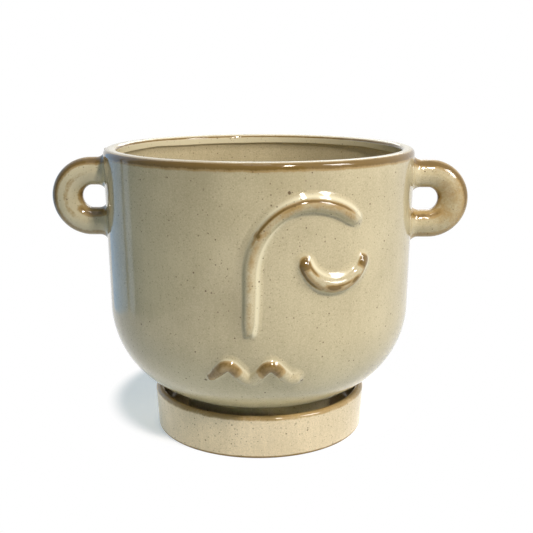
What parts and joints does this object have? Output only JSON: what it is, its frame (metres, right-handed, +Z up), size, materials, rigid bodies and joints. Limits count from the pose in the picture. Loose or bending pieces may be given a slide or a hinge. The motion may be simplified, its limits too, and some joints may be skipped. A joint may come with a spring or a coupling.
{
  "type": "face planter",
  "caption": "Round glazed stoneware plant pot with looped ears and a relief face, standing on a foot ring in its own drip saucer.",
  "frame": {"origin": "centre of the saucer's base, on the surface that it stands on", "axes": "+Z up along the pot's axis, -Y towards the viewer of the face, +X from the left ear to the right ear"},
  "size_m": [0.2077, 0.1552, 0.1428],
  "materials": {
    "pot_glaze": "glossy reactive glaze, iron-speckled oatmeal, breaking brown on edges",
    "relief_glaze": "glossy reactive glaze, iron-speckled oatmeal, breaking brown on edges",
    "saucer_glaze": "glossy reactive glaze, iron-speckled oatmeal, breaking brown on edges"
  },
  "bodies": {
    "saucer": {"saucer": "saucer_glaze"},
    "pot": {"pot_bowl": "pot_glaze", "left_ear": "relief_glaze", "right_ear": "relief_glaze", "brow_nose_coil": "relief_glaze", "closed_eye_coil": "relief_glaze", "mouth_coil": "relief_glaze"}
  },
  "joints": [
    {"name": "pot_lift", "type": "slide", "parent": "saucer", "child": "pot", "axis": [0, 0, 1], "range_m": [0, 0.06]}
  ]
}
